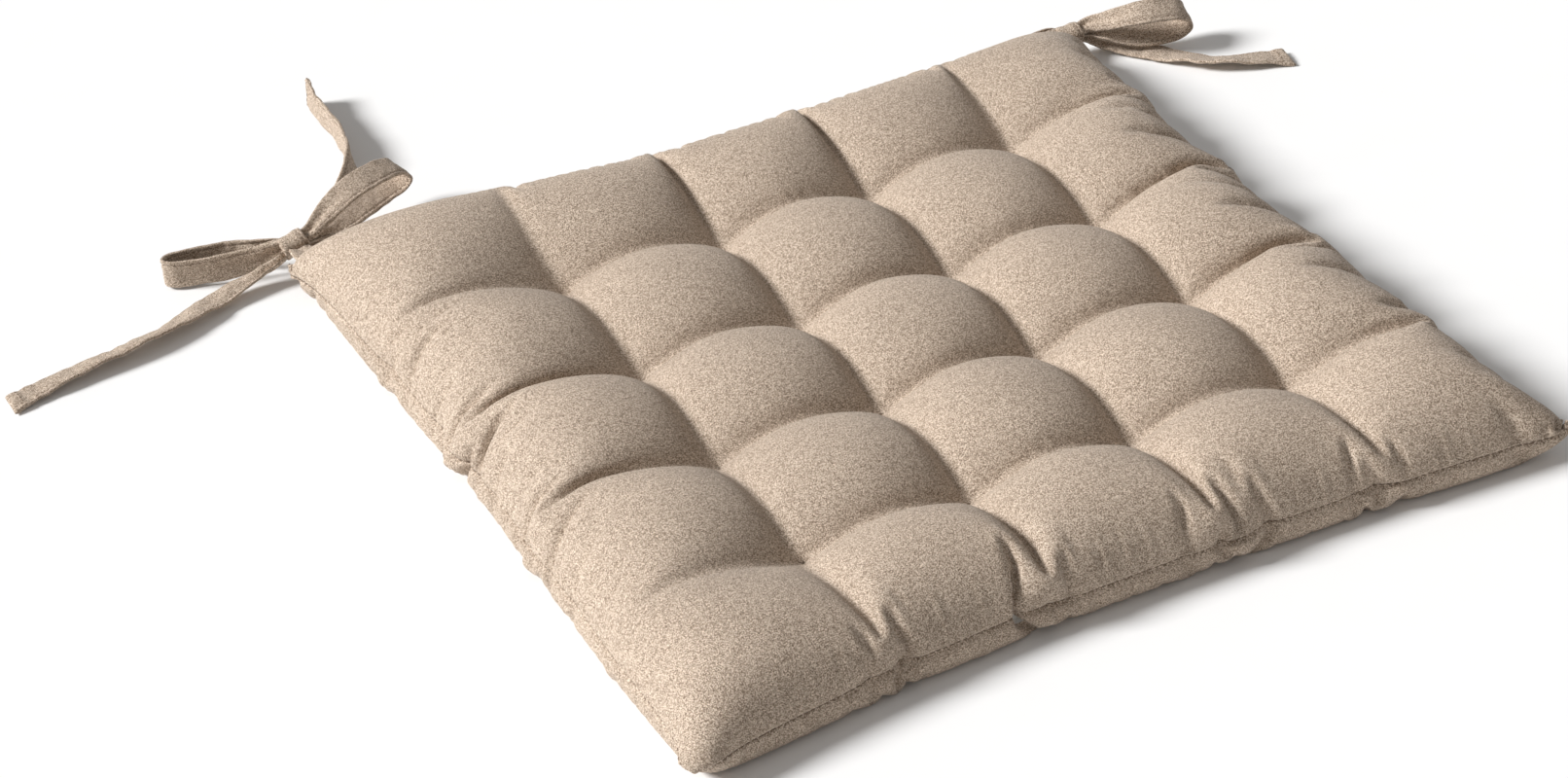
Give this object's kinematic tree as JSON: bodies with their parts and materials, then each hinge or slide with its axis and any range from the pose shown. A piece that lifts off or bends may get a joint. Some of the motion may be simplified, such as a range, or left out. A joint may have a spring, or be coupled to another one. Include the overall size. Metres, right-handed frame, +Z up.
{
  "type": "chair seat pad",
  "caption": "Square tufted chair seat pad with soft quilted puffs, a thin seamed edge and a tied bow of flat fabric ties at each back corner.",
  "frame": {"origin": "centre of the pad's underside, on the surface that the pad rests on", "axes": "+X to the right seen from the front, +Y to the back edge that carries the ties, +Z up out of the seat"},
  "size_m": [0.6458, 0.5831, 0.046],
  "materials": {
    "cover": "woven melange cotton, beige",
    "tie": "the same cloth folded and top-stitched",
    "wadding": "loose white polyester fibre",
    "thread": "matt sewing thread"
  },
  "bodies": {
    "pad": {"top_panel": "cover", "bottom_panel": "cover", "filling": "wadding", "seam_allowance": "cover", "edge_stitching": "thread", "tuft_1_1": "thread", "tuft_1_2": "thread", "tuft_1_3": "thread", "tuft_1_4": "thread", "tuft_2_1": "thread", "tuft_2_2": "thread", "tuft_2_3": "thread", "tuft_2_4": "thread", "tuft_3_1": "thread", "tuft_3_2": "thread", "tuft_3_3": "thread", "tuft_3_4": "thread", "tuft_4_1": "thread", "tuft_4_2": "thread", "tuft_4_3": "thread", "tuft_4_4": "thread", "left_tie_tab": "tie", "right_tie_tab": "tie"},
    "left_bow": {"left_tie_neck": "tie", "left_knot": "tie"},
    "left_loop_inner_piece": {"left_loop_inner": "tie"},
    "left_loop_outer_piece": {"left_loop_outer": "tie"},
    "left_tail_back_piece": {"left_tail_back": "tie"},
    "left_tail_side_piece": {"left_tail_side": "tie"},
    "right_bow": {"right_tie_neck": "tie", "right_knot": "tie"},
    "right_loop_inner_piece": {"right_loop_inner": "tie"},
    "right_loop_outer_piece": {"right_loop_outer": "tie"},
    "right_tail_back_piece": {"right_tail_back": "tie"},
    "right_tail_side_piece": {"right_tail_side": "tie"}
  },
  "joints": [
    {"name": "left_bow_swing", "type": "hinge", "parent": "pad", "child": "left_bow", "pos_m": [-0.1925, 0.202, 0.013], "axis": [1, 0, 0], "range_deg": [0, 60]},
    {"name": "left_loop_inner_lift", "type": "hinge", "parent": "left_bow", "child": "left_loop_inner_piece", "pos_m": [-0.1898, 0.2354, 0.0194], "axis": [0.4108, -0.9117, 0], "range_deg": [0, 40]},
    {"name": "left_tail_back_swing", "type": "hinge", "parent": "left_bow", "child": "left_tail_back_piece", "pos_m": [-0.1894, 0.2385, 0.0114], "axis": [0, 0, 1], "range_deg": [-15, 25]},
    {"name": "left_loop_outer_swing", "type": "hinge", "parent": "left_bow", "child": "left_loop_outer_piece", "pos_m": [-0.2074, 0.2382, 0.0147], "axis": [0, 0, 1], "range_deg": [-25, 0]},
    {"name": "left_tail_side_lift", "type": "hinge", "parent": "left_bow", "child": "left_tail_side_piece", "pos_m": [-0.2072, 0.2318, 0.0118], "axis": [0, 1, 0], "range_deg": [0, 50]},
    {"name": "right_bow_swing", "type": "hinge", "parent": "pad", "child": "right_bow", "pos_m": [0.1925, 0.202, 0.013], "axis": [1, 0, 0], "range_deg": [0, 60]},
    {"name": "right_loop_outer_lift", "type": "hinge", "parent": "right_bow", "child": "right_loop_outer_piece", "pos_m": [0.2136, 0.2132, 0.0144], "axis": [-0.0995, -0.995, 0], "range_deg": [0, 40]},
    {"name": "right_tail_side_swing", "type": "hinge", "parent": "right_bow", "child": "right_tail_side_piece", "pos_m": [0.2138, 0.2145, 0.0083], "axis": [0, 0, 1], "range_deg": [-15, 30]},
    {"name": "right_loop_inner_swing", "type": "hinge", "parent": "right_bow", "child": "right_loop_inner_piece", "pos_m": [0.1956, 0.2176, 0.0131], "axis": [0, 0, 1], "range_deg": [-30, 0]},
    {"name": "right_tail_back_swing", "type": "hinge", "parent": "right_bow", "child": "right_tail_back_piece", "pos_m": [0.1944, 0.2125, 0.0068], "axis": [0, 0, 1], "range_deg": [-35, 0]}
  ]
}
